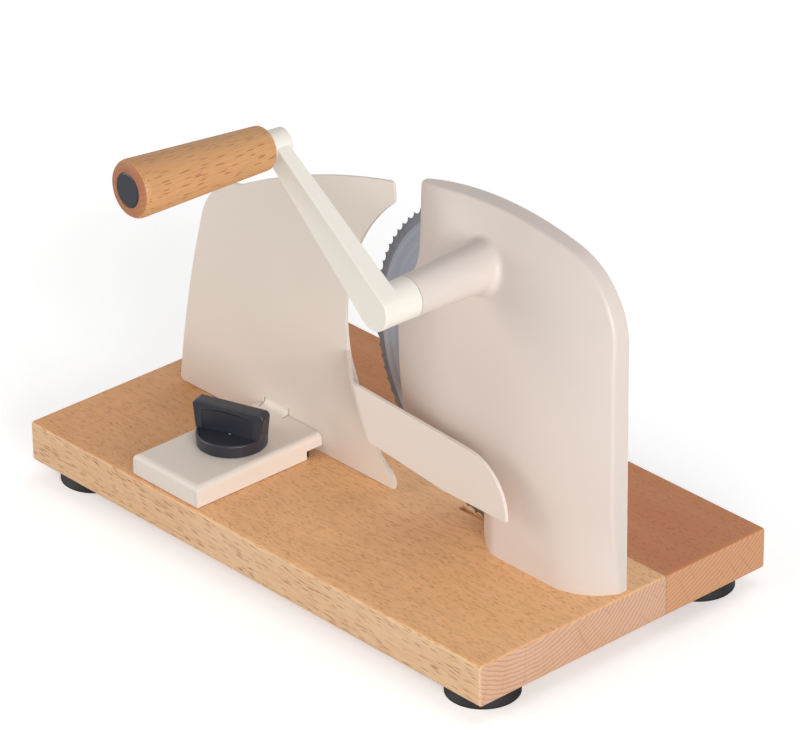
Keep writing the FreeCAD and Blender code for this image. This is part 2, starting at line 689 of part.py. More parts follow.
def blade_gear():
    module = value("gear_module")
    width = value("gear_width")
    direction = mesh_direction()
    bush = value(BUSH_RADIUS)
    wheel = involute_gear(int(value("gear_teeth")), bush, direction)
    rim_inner = value("gear_module * gear_teeth / 2") - 2.5 * module - 2
    seat = value(BLADE_SEAT)
    web = (width - 3) / 2
    for low in (-1, width - web):
        recess = Part.makeCylinder(rim_inner, web + 1, Vector(0, 0, low))
        hub_radius = seat if low > 0 else value(GEAR_HUB_RADIUS) + 2
        hub = Part.makeCylinder(hub_radius, web + 1, Vector(0, 0, low))
        wheel = wheel.cut(recess.cut(hub))
    hole_circle = (rim_inner + seat) / 2
    hole_radius = (rim_inner - seat) / 2 - 3
    holes = [
        Part.makeCylinder(hole_radius, width + 2, Vector(
            hole_circle * math.cos(math.radians(angle)),
            hole_circle * math.sin(math.radians(angle)), -1))
        for angle in range(0, 360, 60)
    ]
    wheel = wheel.cut(holes)
    gap = value("gear_back_gap")
    front_hub = Part.makeCylinder(value(GEAR_HUB_RADIUS), 1, Vector(0, 0, -1))
    blade_seat = Part.makeCylinder(seat, gap, Vector(0, 0, width))
    spigot = Part.makeCylinder(value(BLADE_BORE), value("blade_thick"), Vector(0, 0, width + gap))
    bore = Part.makeCylinder(bush, width + 20, Vector(0, 0, -5))
    wheel = wheel.fuse([front_hub, blade_seat, spigot]).cut(bore)
    depth = gap + 3
    circle = value(BLADE_SCREW_CIRCLE)
    threads = [
        Part.makeCylinder(value(BLADE_SCREW_RADIUS), depth, Vector(
            circle * math.cos(math.radians(angle)),
            circle * math.sin(math.radians(angle)), width + gap - depth))
        for angle in BLADE_SCREW_ANGLES
    ]
    wheel = wheel.cut(threads).removeSplitter()
    return feature("blade_gear", wheel, on_axis("blade_x", GEAR_FRONT, BLADE_Z))


BLADE_SCREW_ANGLES = (90, 210, 330)


def drive_pinion():
    teeth = int(value("pinion_teeth"))
    phase = mesh_direction() + 180 + 180 / teeth
    pinion = involute_gear(teeth, value("shaft_radius"), phase)
    hub = Part.makeCylinder(9, 1, Vector(0, 0, -1))
    hub = hub.cut(Part.makeCylinder(value("shaft_radius"), 3, Vector(0, 0, -2)))
    pinion = pinion.fuse(hub).removeSplitter()
    return feature("drive_pinion", pinion, on_axis(CRANK_X, GEAR_FRONT, CRANK_Z))


def cutting_blade():
    radius = value("blade_radius")
    thick = value("blade_thick")
    valley = radius - value("tooth_depth")
    count = int(value("tooth_count"))
    step = 2 * math.pi / count

    def at(distance, angle):
        return Vector(distance * math.cos(angle), distance * math.sin(angle), 0)

    edges = [
        arc(at(radius, tooth * step), at(valley, (tooth + 0.5) * step), at(radius, (tooth + 1) * step))
        for tooth in range(count)
    ]
    disc = Part.Face(Part.Wire(edges)).extrude(Vector(0, 0, thick))
    bevel = value("bevel_width")
    edge_thick = 0.3
    grind = Part.Face(Part.Wire([
        line(Vector(radius - bevel, 0, -0.001), Vector(radius + 1, 0, thick - edge_thick + 0.15)),
        line(Vector(radius + 1, 0, thick - edge_thick + 0.15), Vector(radius + 1, 0, -0.001)),
        line(Vector(radius + 1, 0, -0.001), Vector(radius - bevel, 0, -0.001)),
    ])).revolve(Vector(), Vector(0, 0, 1), 360)
    disc = disc.cut(grind)
    disc = disc.cut(Part.makeCylinder(value(BLADE_BORE), thick + 2, Vector(0, 0, -1)))
    circle = value(BLADE_SCREW_CIRCLE)
    shank = value(BLADE_SCREW_RADIUS)
    sinks = [
        Part.makeCone(shank, shank + 1.5, thick, Vector(
            circle * math.cos(math.radians(angle)),
            circle * math.sin(math.radians(angle)), 0))
        for angle in BLADE_SCREW_ANGLES
    ]
    return feature("cutting_blade", disc.cut(sinks), on_axis("blade_x", "blade_front", BLADE_Z))


def blade_screws():
    """Countersunk screws that hold the blade on its gear, flush with the blade's back."""
    shank, thick = value(BLADE_SCREW_RADIUS), value("blade_thick")
    cone = Part.makeCone(shank, shank + 1.5, thick)
    body = Part.makeCylinder(shank, 4.6, Vector(0, 0, -4.6))
    prism = Part.Face(Part.makePolygon([
        Vector(1.1 * math.cos(math.radians(angle)), 1.1 * math.sin(math.radians(angle)), thick - 1)
        for angle in range(0, 361, 60)
    ])).extrude(Vector(0, 0, 3))
    screw = feature("blade_screw_master", cone.fuse(body).removeSplitter().cut(prism))
    circle = value(BLADE_SCREW_CIRCLE)
    axis = on_axis("blade_x", "blade_front", BLADE_Z)
    places = []
    for angle in BLADE_SCREW_ANGLES:
        offset = Vector(
            circle * math.cos(math.radians(angle)), circle * math.sin(math.radians(angle)), 0)
        places.append(axis.multiply(Placement(offset, Rotation())))
    return group("blade_screws", screw, places)


def drive_train():
    """Turned pieces on the crank and blade axes. Their own Z becomes Y, from the given start."""
    bush = BUSH_RADIUS
    bore = "(shaft_radius + running_gap)"
    front_bush_start = BOSS_END
    pieces = [
        turned("crank_bush_front", ring(bush, bore, "0", "bush_length"),
               CRANK_X, front_bush_start, CRANK_Z, TO_BACK),
        turned("crank_bush_rear", ring(bush, bore, "0", "bush_length"),
               CRANK_X, f"{POST_END} - bush_length", CRANK_Z, TO_BACK),
        turned("crank_shaft", [
            ("0", "0"),
            ("shaft_radius - 0.6", "0"),
            ("shaft_radius", "0.6"),
            ("shaft_radius", f"{GEAR_BACK} - {SHAFT_FRONT} + 0.1"),
            (CLIP_SEAT, f"{GEAR_BACK} - {SHAFT_FRONT} + 0.1"),
            (CLIP_SEAT, f"{GEAR_BACK} - {SHAFT_FRONT} + 0.1 + {CLIP_THICK}"),
            ("shaft_radius - 0.2", f"{GEAR_BACK} - {SHAFT_FRONT} + 0.1 + {CLIP_THICK}"),
            ("shaft_radius - 0.2", f"{GEAR_BACK} - {SHAFT_FRONT} + 1.6"),
            ("0", f"{GEAR_BACK} - {SHAFT_FRONT} + 1.6"),
        ], CRANK_X, SHAFT_FRONT, CRANK_Z, TO_BACK),
        turned("blade_axle", [
            ("0", "0"),
            ("shaft_radius", "0"),
            ("shaft_radius", f"{BLADE_BACK} - {AXLE_FRONT}"),
            (CAP_THREAD, f"{BLADE_BACK} - {AXLE_FRONT}"),
            (CAP_THREAD, f"{BLADE_BACK} - {AXLE_FRONT} - 9"),
            ("0", f"{BLADE_BACK} - {AXLE_FRONT} - 9"),
        ], "blade_x", AXLE_FRONT, BLADE_Z, TO_BACK),
        turned("blade_bush", ring(bush, bore, "0", f"{BLADE_BACK} - {GEAR_FRONT} + 1 - 0.2"),
               "blade_x", f"{GEAR_FRONT} - 1", BLADE_Z, TO_BACK),
    ]
    cap = turned("blade_cap_blank", [
        ("0", "1.1"),
        ("7.6", "1.1"),
        ("8.4", "0.6"),
        ("8.4", "0.1"),
        ("shaft_radius", "0.1"),
        ("shaft_radius", "0"),
        (CAP_THREAD, "0"),
        (CAP_THREAD, "-8"),
        ("0", "-8"),
    ], "blade_x", BLADE_BACK, BLADE_Z, TO_BACK)
    coin_slot = box("blade_cap_slot", "14", "2", "1.6", "blade_x - 7", BLADE_BACK + " + 0.45", BLADE_Z + " - 0.8")
    pieces.append(cut("blade_cap_screw", cap, coin_slot))
    return pieces


SHAFT_FRONT = f"({ARM_FRONT} + 4)"
AXLE_FRONT = "(housing_wall - housing_depth)"
CAP_THREAD = "2.5"
CLIP_SEAT = "(shaft_radius - 0.8)"
CLIP_THICK = "0.7"


def shaft_clip():
    """An open spring clip in the shaft's groove, behind the pinion."""
    seat, thick = value(CLIP_SEAT), value(CLIP_THICK)
    clip = Part.makeCylinder(seat + 3, thick).cut(Part.makeCylinder(seat, thick))
    mouth = Part.makeBox(20, 2.2 * seat * 0.7, thick, Vector(0, -1.1 * seat * 0.7, 0))
    return feature("shaft_clip", clip.cut(mouth), on_axis(CRANK_X, f"{GEAR_BACK} + 0.1", CRANK_Z))


# Crank arm and grip

def crank_arm():
    axis_x, axis_z = value(CRANK_X), value(CRANK_Z)
    reach = value("crank_radius")
    root, tip = value("arm_root_width") / 2, value("arm_tip_width") / 2
    front, back = value(ARM_FRONT), value(HUB_END)
    boss = value("grip_boss_radius")
    lean = math.asin((root - tip) / reach)
    corners = []
    for end, radius in ((0, root), (reach, tip)):
        corners.append((end + radius * math.sin(lean), radius * math.cos(lean)))
    (x1, z1), (x2, z2) = corners
    outline = Part.Wire([
        line(Vector(x1, 0, z1), Vector(x2, 0, z2)),
        arc(Vector(x2, 0, z2), Vector(reach + tip, 0, 0), Vector(x2, 0, -z2)),
        line(Vector(x2, 0, -z2), Vector(x1, 0, -z1)),
        arc(Vector(x1, 0, -z1), Vector(-root, 0, 0), Vector(x1, 0, z1)),
    ])
    bar = slab(outline, front, back)
    bar = bar.makeFillet(0.7, edges_where(bar, lambda edge: abs(middle_of(edge).y - front) < 0.01))
    thin = value("arm_thick - arm_tip_thick")
    wedge = Part.Face(Part.makePolygon([
        Vector(root + 1, back, -40), Vector(reach + 40, back, -40),
        Vector(reach + 40, back - thin * (reach + 39 - root) / (reach - root), -40),
        Vector(root + 1, back, -40),
    ])).extrude(Vector(0, 0, 80))
    bar = bar.cut(wedge)
    hub_back = value(BOSS_END) - value("hub_gap")
    hub = Part.makeCone(root, value("boss_radius"), hub_back - back + 1, Vector(0, back - 1, 0), Vector(0, 1, 0))
    boss_front = value(GRIP_BOSS_FRONT)
    end_boss = rod_along_y(boss, boss_front, boss_front + value("grip_boss_length"), reach, 0)
    rims = edges_where(end_boss, lambda edge: abs(middle_of(edge).y - boss_front) > 1 and edge.isClosed())
    rims = [edge for edge in rims if isinstance(edge.Curve, Part.Circle)]
    end_boss = end_boss.makeFillet(1.6, rims)
    pin_hole = rod_along_y(value(PIN_TAIL), boss_front - 5, boss_front + value("grip_boss_length") - 3, reach, 0)
    for piece in (end_boss, pin_hole):
        piece.rotate(Vector(reach, boss_front, 0), Vector(0, 0, 1), value("grip_lean"))
    arm = bar.fuse([hub, end_boss])
    shaft_hole = rod_along_y(value("shaft_radius"), value(SHAFT_FRONT), 0, 0, 0)
    arm = arm.cut([shaft_hole, pin_hole])
    set_screw_hole = Part.makeCylinder(2.5, root + 1, Vector(0, value(SET_SCREW_Y), 0), Vector(0, 0, -1))
    arm.rotate(Vector(), Vector(0, 1, 0), -value("crank_angle"))
    set_screw_hole = set_screw_hole.cut(rod_along_y(value("shaft_radius"), -200, 0, 0, 0))
    arm = arm.cut(set_screw_hole).removeSplitter()
    arm.translate(Vector(axis_x, 0, axis_z))
    return feature("crank_arm", arm)


PIN_TAIL = "(grip_pin_radius - 1)"
SET_SCREW_Y = f"({BOSS_END} - hub_gap - 6)"


def set_screw():
    """The headless screw that holds the hub on the shaft, from below."""
    length = "(arm_root_width / 2 - shaft_radius - 0.8)"
    blank = cylinder(
        "crank_set_screw_blank", "2.5", length,
        CRANK_X, SET_SCREW_Y, f"{CRANK_Z} - shaft_radius - {length}")
    hexagon = doc.addObject("Part::Prism", "crank_set_screw_socket")
    hexagon.Polygon = 6
    hexagon.Circumradius = 1.5
    hexagon.Height = 3
    place(hexagon, CRANK_X, SET_SCREW_Y, f"{CRANK_Z} - shaft_radius - {length} - 0.5")
    shaft = cylinder("crank_set_screw_seat", "shaft_radius", "20", CRANK_X, f"{SET_SCREW_Y} - 10", CRANK_Z, TO_BACK)
    return cut("crank_set_screw", blank, hexagon, shaft)


GRIP_OUTER = f"({GRIP_INNER} - grip_length)"
PIN_HEAD_SEAT = f"({GRIP_OUTER} + cap_thick + 5)"


def on_grip_axis(start):
    """The place and turn of a piece on the grip's leaning axis, whose start is its Y without the lean."""
    along = f"({start} - {GRIP_BOSS_FRONT})"
    arm_turn = math.radians(value("crank_angle"))
    lean = Rotation(Vector(-math.sin(arm_turn), 0, math.cos(arm_turn)), value("grip_lean"))
    return (
        f"{GRIP_X} - {along} * sin(grip_lean) * cos(crank_angle)",
        f"{GRIP_BOSS_FRONT} + {along} * cos(grip_lean)",
        f"{GRIP_Z} - {along} * sin(grip_lean) * sin(crank_angle)",
        lean.multiply(TO_BACK),
    )


def grip_pieces():
    """The wooden grip, its pin, washer and end cap. Their own Z runs from the free end to the arm."""
    steps = 4
    rounding = []
    for step in range(steps + 1):
        angle = 90.0 * step / steps
        rounding.append((
            f"(grip_outer_radius - grip_round * (1 - sin({angle})))",
            f"(grip_round * (1 - cos({angle})))",
        ))
    inner_rounding = []
    for step in range(steps + 1):
        angle = 90.0 * step / steps
        inner_rounding.append((
            f"(grip_inner_radius - 2.5 * (1 - cos({angle})))",
            f"(grip_length - 2.5 * (1 - sin({angle})))",
        ))
    pin_bore = "(grip_pin_radius + running_gap)"
    head_seat = f"({PIN_HEAD_SEAT} - {GRIP_OUTER})"
    grip = turned(
        "hand_grip",
        [("cap_radius", "0")] + rounding + inner_rounding + [
            (pin_bore, "grip_length"),
            (pin_bore, head_seat),
            ("(grip_pin_radius + 3.4)", head_seat),
            ("(grip_pin_radius + 3.4)", "cap_thick"),
            ("cap_radius", "cap_thick"),
        ], *on_grip_axis(GRIP_OUTER))
    cap = turned("grip_end_cap", [
        ("0", "-0.3"),
        ("(cap_radius - 1)", "-0.3"),
        ("cap_radius", "0.3"),
        ("cap_radius", "cap_thick"),
        ("0", "cap_thick"),
    ], *on_grip_axis(GRIP_OUTER))
    tail = f"({GRIP_BOSS_FRONT} + grip_boss_length - 3 - {PIN_HEAD_SEAT})"
    shoulder = f"({GRIP_BOSS_FRONT} - {PIN_HEAD_SEAT})"
    pin = turned("grip_pin", [
        ("0", "-4"),
        ("(grip_pin_radius + 2)", "-4"),
        ("(grip_pin_radius + 3)", "-3"),
        ("(grip_pin_radius + 3)", "-0.1"),
        ("grip_pin_radius", "-0.1"),
        ("grip_pin_radius", shoulder),
        (PIN_TAIL, shoulder),
        (PIN_TAIL, tail),
        ("0", tail),
    ], *on_grip_axis(PIN_HEAD_SEAT))
    washer = turned(
        "grip_washer", ring("(grip_boss_radius - 0.4)", "(grip_pin_radius + 0.05)", "0.1", "1.1"),
        *on_grip_axis(GRIP_INNER))
    return [grip, cap, pin, washer]


# Stop plate: one folded sheet with the upright plate, the slice guide and the sliding tray

def plate_outline():
    base = value(BOARD_TOP)
    low = base + value("plate_lift")
    centre = Vector(value("plate_arc_x"), 0, base + value("plate_arc_z"))
    radius = value("blade_radius + plate_gap")

    def at(x, z):
        return Vector(x, 0, base + z)

    corner_x = value("plate_arc_x") - 66.6
    upper = centre + Vector(corner_x - centre.x, 0, math.sqrt(radius ** 2 - (corner_x - centre.x) ** 2))
    lower_z = base + 25
    lower = Vector(centre.x - math.sqrt(radius ** 2 - (centre.z - lower_z) ** 2), 0, lower_z)
    waist = centre - Vector(radius, 0, 0)
    left_foot, left_shoulder, top_left = at(-160, 4), at(-138.1, 107.6), at(-104.4, 139.2)
    top_corner = upper + Vector(0, 0, 8.3)
    top_right = upper + Vector(-3.6, 0, 11.3)
    flare, toe = at(lower.x + 11.9, 10), Vector(lower.x + 14.5, 0, low)
    return Part.Wire([
        arc(Vector(-156, 0, low), at(-159.4, 1.4), left_foot),
        arc(left_foot, at(-151.2, 55.8), left_shoulder),
        arc(left_shoulder, at(-126.2, 128.6), top_left),
        arc(top_left, at(-42.2, 166.4), top_right),
        arc(top_right, upper + Vector(-1, 0, 10.8), top_corner),
        line(top_corner, upper),
        arc(upper, waist, lower),
        arc(lower, at(lower.x + 4.9, 15.6), flare),
        arc(flare, at(lower.x + 14.7, 6.4), toe),
        line(toe, Vector(-156, 0, low)),
    ])


def slice_guide():
    """The band that leaves the plate's curved edge, steps forward and runs past the housing."""
    base = value(BOARD_TOP)
    thick = value("plate_thick")
    near, far = -value("plate_front"), -value("strip_front")
    low, high = value("strip_low"), value("strip_high")
    end_x = value("strip_end_x")
    fold_lean = -0.38
    fold_x = value("plate_arc_x - blade_radius - plate_gap") + 0.5
    forward = near - far
    step_x = forward * 1.22
    rise = high - low + 12
    bottom = low - 6

    def plan(x, y):
        return Vector(x, y, base + bottom)

    start_x, slope = fold_x - fold_lean * (high - bottom), step_x / forward
    half = thick * (math.sqrt(1 + slope * slope) - slope)
    profile = Part.makePolygon([
        plan(start_x - 12, near), plan(start_x, near),
        plan(start_x + step_x, far), plan(end_x + 30, far),
        plan(end_x + 30, far + thick), plan(start_x + step_x + half, far + thick),
        plan(start_x + half, near + thick), plan(start_x - 12, near + thick),
        plan(start_x - 12, near),
    ])
    band = Part.Face(profile).extrude(Vector(fold_lean * rise, 0, rise))

    def fold(edge):
        first, last = edge.Vertexes[0].Point, edge.Vertexes[-1].Point
        leaning = abs(last.z - first.z) > rise - 1
        foot_x = max(first.x, last.x)
        corners = (start_x, start_x + step_x, start_x + half, start_x + step_x + half)
        return leaning and min(abs(foot_x - corner) for corner in corners) < 0.05

    def outer_side(edge):
        foot = min((vertex.Point for vertex in edge.Vertexes), key=lambda point: point.z)
        at_plate = foot.x < start_x + step_x / 2
        in_front = foot.y < (near + 0.1 if at_plate else far + 0.1)
        return at_plate != in_front

    for outer, radius in ((True, value("fold_bend") + thick), (False, value("fold_bend"))):
        folds = edges_where(band, lambda edge: fold(edge) and outer_side(edge) == outer)
        band = band.makeFillet(radius, folds)

    def at(x, z):
        return Vector(x, 0, base + z)

    outline = Part.Wire([
        line(at(-34, low - 2), at(start_x + step_x + 2, low)),
        line(at(start_x + step_x + 2, low), at(end_x, low - 11)),
        arc(at(end_x, low - 11), at(end_x - 5, high - 17), at(end_x - 28, high - 4.4)),
        line(at(end_x - 28, high - 4.4), at(start_x + step_x - 6, high)),
        line(at(start_x + step_x - 6, high), at(-34, high)),
        line(at(-34, high), at(-34, low - 2)),
    ])
    return band.common(slab(outline, far - 5, near + thick + 5))


def tray():
    """The folded tray in front of the plate, open at its corners, with the slot for the stud."""
    base = value(BOARD_TOP)
    thick = value("plate_thick")
    half = value("tray_width") / 2
    middle = value("tray_x")
    front = -value("tray_front")
    low, top = base + value("plate_lift"), value(TRAY_TOP)
    plate_face = -value("plate_front")
    back = plate_face - 0.5
    bend = value("tray_bend")
    block = Part.makeBox(2 * half, back - front, top - low + 10, Vector(middle - half, front, low - 10))

    def upper_edge(edge):
        point = middle_of(edge)
        on_top = abs(point.z - top) < 0.01
        return on_top and point.y < back - 0.01

    block = block.makeFillet(bend, edges_where(block, upper_edge))
    hollow = Part.makeBox(
        2 * (half - thick), back - front, top - low - thick + 20, Vector(middle - half + thick, front + thick, low - 20))

    def hollow_edge(edge):
        point = middle_of(edge)
        return abs(point.z - (top - thick)) < 0.01 and point.y < back + thick - 0.01

    hollow = hollow.makeFillet(bend - thick, edges_where(hollow, hollow_edge))
    below = Part.makeBox(400, 400, 40, Vector(-200, -200, low - 40))
    shell = block.cut([hollow, below])
    step = Part.makeBox(2 * half + 4, 60, 5, Vector(middle - half - 2, plate_face - 11.5, low))
    seam = 0.35
    seams = [
        Part.makeBox(seam, thick + 0.2, top - low - bend, Vector(x, front - 0.1, low))
        for x in (middle - half + thick, middle + half - thick - seam)
    ]
    slot_half = value("stud_radius + slot_play")
    stud_y = value("stud_y")
    slot_front = stud_y - value("slide_back") - slot_half
    slot_back = stud_y + value("slide_front") + slot_half
    slot = Part.makeBox(
        2 * slot_half, slot_back - slot_front, 20, Vector(middle - slot_half, slot_front, top - 10))
    upright = edges_where(slot, lambda edge: abs(edge.Vertexes[0].Z - edge.Vertexes[-1].Z) > 1)
    slot = slot.makeFillet(slot_half * 0.98, upright)
    shell = shell.cut([step, slot] + seams)

    tongue_left, tongue_right = middle - 20, middle - 2
    inner = value("tongue_bend")
    outer = inner + thick
    y, z = plate_face - inner, top + inner
    lean = math.sqrt(0.5)
    side = Part.Wire([
        line(Vector(0, y - 2, top - thick), Vector(0, y, top - thick)),
        arc(Vector(0, y, top - thick), Vector(0, y + outer * lean, z - outer * lean), Vector(0, y + outer, z)),
        line(Vector(0, y + outer, z), Vector(0, y + outer, z + 2)),
        line(Vector(0, y + outer, z + 2), Vector(0, plate_face, z + 2)),
        line(Vector(0, plate_face, z + 2), Vector(0, plate_face, z)),
        arc(Vector(0, plate_face, z), Vector(0, y + inner * lean, z - inner * lean), Vector(0, y, top)),
        line(Vector(0, y, top), Vector(0, y - 2, top)),
        line(Vector(0, y - 2, top), Vector(0, y - 2, top - thick)),
    ])
    tongue = Part.Face(side).extrude(Vector(tongue_right - tongue_left, 0, 0))
    tongue.translate(Vector(tongue_left, 0, 0))
    slit = 1.4
    relief = Part.makeBox(
        tongue_right - tongue_left + 2 * slit, 3 * thick, z - low + 1,
        Vector(tongue_left - slit, plate_face - 0.01, low - 1))
    slits = [
        Part.makeBox(width, inner + 2, thick + 2, Vector(x, front_end, top - thick - 1))
        for x, width, front_end in (
            (tongue_left - slit, slit, y - 0.6),
            (tongue_right, slit, y - 0.6),
            (tongue_left, tongue_right - tongue_left, y),
        )
    ]
    return shell, tongue, relief, slits


def stop_plate():
    thick = value("plate_thick")
    face = -value("plate_front")
    plate = slab(plate_outline(), face, face + thick)
    shell, tongue, relief, slits = tray()
    plate = plate.cut(relief)
    whole = plate.fuse([slice_guide(), shell.cut(slits), tongue])
    return feature("stop_plate", whole.removeSplitter())


# Slide rail, clamping stud and knob

def rail():
    bar = box(
        "guide_rail_bar", RAIL_WIDTH, f"{RAIL_BACK} - {RAIL_FRONT}", f"{RAIL_TOP} - {BOARD_TOP}",
        f"tray_x - {RAIL_WIDTH} / 2", RAIL_FRONT, BOARD_TOP)
    doc.recompute()
    top, size = value(RAIL_TOP), value("tray_bend - plate_thick")
    long_edges = [
        (index, size, size) for index, edge in enumerate(bar.Shape.Edges, start=1)
        if abs(middle_of(edge).z - top) < 0.01 and edge.Vertexes[0].X == edge.Vertexes[-1].X
    ]
    blank = doc.addObject("Part::Chamfer", "guide_rail_blank")
    blank.Base = bar
    blank.Edges = long_edges
    trough = box(
        "guide_rail_trough", "14", f"{RAIL_BACK} - {RAIL_FRONT} + 2", "4",
        "tray_x - 7", f"{RAIL_FRONT} - 1", f"{RAIL_TOP} - 4")
    stud_hole = cylinder("guide_rail_stud_hole", "stud_radius", "20", "tray_x", "stud_y", BOARD_TOP)
    tools = [trough, stud_hole]
    for index, (x, y) in enumerate(RAIL_SCREW_PLACES):
        tools.append(cylinder(f"guide_rail_hole_{index}", RAIL_SCREW_RADIUS, "20", x, y, BOARD_TOP))
        sink = doc.addObject("Part::Cone", f"guide_rail_sink_{index}")
        sink.setExpression("Radius1", expression(RAIL_SCREW_RADIUS))
        sink.setExpression("Radius2", expression(RAIL_SCREW_HEAD))
        sink.setExpression("Height", expression("2.7"))
        place(sink, x, y, f"{RAIL_TOP} - 3")
        tools.append(sink)
        tools.append(cylinder(f"guide_rail_mouth_{index}", RAIL_SCREW_HEAD, "2", x, y, f"{RAIL_TOP} - 0.3"))
    return cut("guide_rail", blank, *tools)


RAIL_SCREW_HEAD = "4.2"


def clamp_pieces():
    stud_top = f"({TRAY_TOP} + knob_bore - 0.5)"
    stud = turned("clamp_stud", [
        ("0", "0.3"),
        ("stud_radius", "0.3"),
        ("stud_radius", f"{stud_top} - {BOARD_TOP} - 1"),
        ("stud_radius - 1", f"{stud_top} - {BOARD_TOP}"),
        ("0", f"{stud_top} - {BOARD_TOP}"),
    ], "tray_x", "stud_y", BOARD_TOP)
    washer = turned(
        "knob_washer", ring("9.5", "stud_radius + 0.3", "0.1", "1.1"), "tray_x", "stud_y", TRAY_TOP)
    insert = turned("knob_insert", [
        ("stud_radius + running_gap", "1.2"),
        (INSERT_RADIUS, "1.2"),
        (INSERT_RADIUS, "knob_bore - 1.1"),
        ("stud_radius + running_gap", "knob_bore - 1.1"),
    ], "tray_x", "stud_y", TRAY_TOP)
    return [stud, washer, insert]


INSERT_RADIUS = "(stud_radius + 2)"


def clamp_knob():
    """A round base with a raised wing across it, hollowed on both sides for the fingers."""
    radius, rim = value("knob_radius"), value("knob_rim")
    height = value("knob_height")
    lift = 0.3
    base = Part.makeCone(radius - 0.3, radius, rim, Vector(0, 0, lift))
    rims = edges_where(base, lambda edge: abs(middle_of(edge).z - rim - lift) < 0.01 and edge.isClosed())
    base = base.makeFillet(0.9, rims)
    reach_low, reach_high = radius - 0.4, radius + 2.8
    side = Part.Wire([
        line(Vector(-reach_low, 0, rim - 3), Vector(reach_low, 0, rim - 3)),
        line(Vector(reach_low, 0, rim - 3), Vector(reach_high, 0, height)),
        line(Vector(reach_high, 0, height), Vector(-reach_high, 0, height)),
        line(Vector(-reach_high, 0, height), Vector(-reach_low, 0, rim - 3)),
    ])
    low_half, high_half = value("wing_low"), value("wing_high")
    wing = slab(side, -low_half, low_half)
    cuts = []
    for way in (1, -1):
        cheek = Part.Face(Part.makePolygon([
            Vector(-40, way * low_half, rim), Vector(-40, way * high_half, height),
            Vector(-40, way * high_half, height + 5), Vector(-40, way * (low_half + 5), height + 5),
            Vector(-40, way * (low_half + 5), rim), Vector(-40, way * low_half, rim),
        ]))
        cuts.append(cheek.extrude(Vector(80, 0, 0)))
    wing = wing.cut(cuts).removeSplitter()
    ends = edges_where(wing, lambda edge: middle_of(edge).z > height - 0.1 and abs(middle_of(edge).y) < 0.1)
    wing = wing.makeFillet(2.8, ends)
    sides = edges_where(wing, lambda edge: middle_of(edge).z > rim + 1 and abs(middle_of(edge).y) > 2)
    wing = wing.makeFillet(1, sides)
    curve, waist = value("waist_curve"), value("wing_waist")
    ledge = height - 4.6
    middle_part = Part.makeBox(2 * (reach_low - 3.6), 100, 60, Vector(3.6 - reach_low, -50, 0))
    scoops = []
    for way in (1, -1):
        centre = way * (curve + waist)
        trough = Part.makeCylinder(curve, ledge - rim + 1, Vector(0, centre, rim - 1))
        under_ledge = Part.makeCone(curve, curve - 2, 2, Vector(0, centre, ledge))
        scoops.append(trough.fuse(under_ledge).common(middle_part))
    upper = Part.makeBox(100, 100, 60, Vector(-50, -50, rim))
    trim = Part.makeCylinder(radius - 0.1, rim + 0.01, Vector(0, 0, 0))
    wing = wing.common(trim.fuse(upper))
    for hollow in scoops:
        wing = wing.cut(hollow)
    knob = base.fuse(wing)
    dish = Part.makeCone(radius - 2.6, radius - 1.4, 1.1, Vector(0, 0, rim + lift - 1.1))
    dish = dish.cut(wing)
    knob = knob.cut(dish)
    bore = value("knob_bore")
    recess = Part.makeCylinder(10, 1.2 + 0.02, Vector(0, 0, -0.02))
    insert_hole = Part.makeCylinder(value(INSERT_RADIUS), bore - 2.3, Vector(0, 0, 1.2))
    stud_hole = Part.makeCylinder(value("stud_radius") + 0.4, bore)
    knob = knob.cut([recess, insert_hole, stud_hole]).removeSplitter()
    spot = Placement(
        Vector(value("tray_x"), value("stud_y"), value(TRAY_TOP)),
        Rotation(Vector(0, 0, 1), value("knob_turn")))
    return feature("clamp_knob", knob, spot)


def fastener_groups():
    doc.recompute()
    foot_screw = pan_screw("foot_screw", "foot_screw_radius", "5", "2.6", "foot_screw_depth + 4 - 1", "1.6")
    housing_screw = pan_screw(
        "housing_screw", HOUSING_SCREW_RADIUS, "4.8", "3", f"board_thick - {SCREW_SINK} + 10", "1.8")
    rail_screw = countersunk_screw("rail_screw", RAIL_SCREW_RADIUS, RAIL_SCREW_HEAD, "3", "20", "1.5")
    doc.recompute()
    foot_spots = [
        Placement(Vector(value(side_x + FOOT_X), value(side_y + FOOT_Y), value("foot_height - 4")), Rotation())
        for _, side_x, side_y in FOOT_PLACES
    ]
    housing_spots = [
        Placement(Vector(value(x), value(y), value("foot_height + " + SCREW_SINK)), Rotation())
        for x, y in HOUSING_SCREW_PLACES
    ]
    rail_spots = [
        Placement(Vector(value(x), value(y), value(RAIL_TOP)), Rotation())
        for x, y in RAIL_SCREW_PLACES
    ]
    return [
        group("foot_screws", foot_screw, foot_spots),
        group("housing_screws", housing_screw, housing_spots),
        group("rail_screws", rail_screw, rail_spots),
    ]


nodes = [base_board()]
nodes += feet()
nodes += [gear_housing(), blade_gear(), drive_pinion(), cutting_blade(), blade_screws()]
nodes += drive_train()
nodes += [shaft_clip(), crank_arm(), set_screw()]
nodes += grip_pieces()
nodes += [stop_plate(), rail()]
nodes += clamp_pieces()
nodes += [clamp_knob()]
nodes += fastener_groups()
doc.recompute()

for obj in doc.Objects:
    if "Invalid" in obj.State or "Error" in obj.State:
        raise RuntimeError(f"{obj.Name} is {obj.State}")
for node in nodes:
    if node.Shape.isNull() or not node.Shape.isValid() or not node.Shape.Solids:
        raise RuntimeError(f"{node.Name} has no valid shape")

os.makedirs("parts", exist_ok=True)
for node in nodes:
    node.Label = node.Name
    node.Shape.exportStep(os.path.join("parts", node.Label + ".step"))
    box_of = node.Shape.BoundBox
    print(f"{node.Label}: {len(node.Shape.Solids)} solid(s), {node.Shape.Volume:.0f} mm3, "
          f"{box_of.XLength:.1f} x {box_of.YLength:.1f} x {box_of.ZLength:.1f}")
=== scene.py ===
import math

